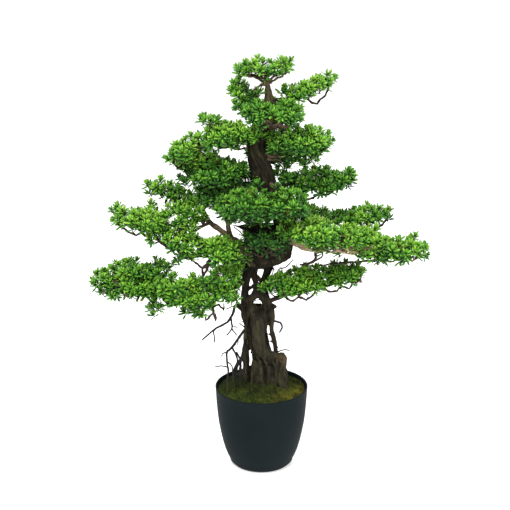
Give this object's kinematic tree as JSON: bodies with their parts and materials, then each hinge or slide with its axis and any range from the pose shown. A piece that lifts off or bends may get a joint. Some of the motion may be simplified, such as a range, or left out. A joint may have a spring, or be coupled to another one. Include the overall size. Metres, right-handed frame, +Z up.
{
  "type": "potted bonsai tree",
  "caption": "Tall artificial Buddhist pine bonsai with a bent trunk, hanging roots and tiered leafy sprays, standing in moss in a round tapered planter.",
  "frame": {"origin": "centre of the planter's foot, on the surface it stands on", "axes": "+Z up, +X to the right of the front view, +Y away from the viewer"},
  "size_m": [0.7444, 0.3836, 0.95],
  "materials": {
    "pot": "matt charcoal with a fine grain",
    "pot_fill": "rough cast",
    "moss": "dried moss",
    "trunk_bark": "ridged matt bark",
    "branch_bark": "matt bark",
    "root_bark": "matt bark",
    "leaf": "satin green"
  },
  "bodies": {
    "root": {"pot": "pot", "pot_fill": "pot_fill", "moss_bed": "moss", "trunk": "trunk_bark", "aerial_root_upper_left": "root_bark", "aerial_root_lower_left": "root_bark", "aerial_root_inner_left": "root_bark", "aerial_root_right": "root_bark", "aerial_root_back": "root_bark", "branch_crown": "branch_bark", "branch_top_right": "branch_bark", "branch_top_left": "branch_bark", "branch_upper_front": "branch_bark", "branch_upper_back": "branch_bark", "branch_upper_left": "branch_bark", "branch_upper_right": "branch_bark", "branch_left_shelf": "branch_bark", "branch_back_shelf": "branch_bark", "branch_right_shelf": "branch_bark", "branch_front": "branch_bark", "branch_left": "branch_bark", "branch_right": "branch_bark", "branch_back_right": "branch_bark", "branch_back_left": "branch_bark", "branch_left_low_shelf": "branch_bark", "branch_low_front": "branch_bark", "branch_low_left": "branch_bark", "branch_low_right": "branch_bark", "branch_low_back": "branch_bark", "spray_crown": "leaf", "spray_top_right": "leaf", "spray_top_left": "leaf", "spray_upper_front": "leaf", "spray_upper_back": "leaf", "spray_upper_left": "leaf", "spray_upper_left_tip": "leaf", "spray_upper_right": "leaf", "spray_left_shelf": "leaf", "spray_back_shelf": "leaf", "spray_right_shelf": "leaf", "spray_front": "leaf", "spray_left_finger": "leaf", "spray_left_inner": "leaf", "spray_left_tip": "leaf", "spray_left_drop": "leaf", "spray_right_inner": "leaf", "spray_right_outer": "leaf", "spray_right_tip": "leaf", "spray_back_right": "leaf", "spray_back_right_tip": "leaf", "spray_back_left": "leaf", "spray_left_low_shelf": "leaf", "spray_low_front": "leaf", "spray_low_left": "leaf", "spray_low_left_tip": "leaf", "spray_low_right": "leaf", "spray_low_right_tip": "leaf", "spray_low_back": "leaf"}
  },
  "joints": []
}
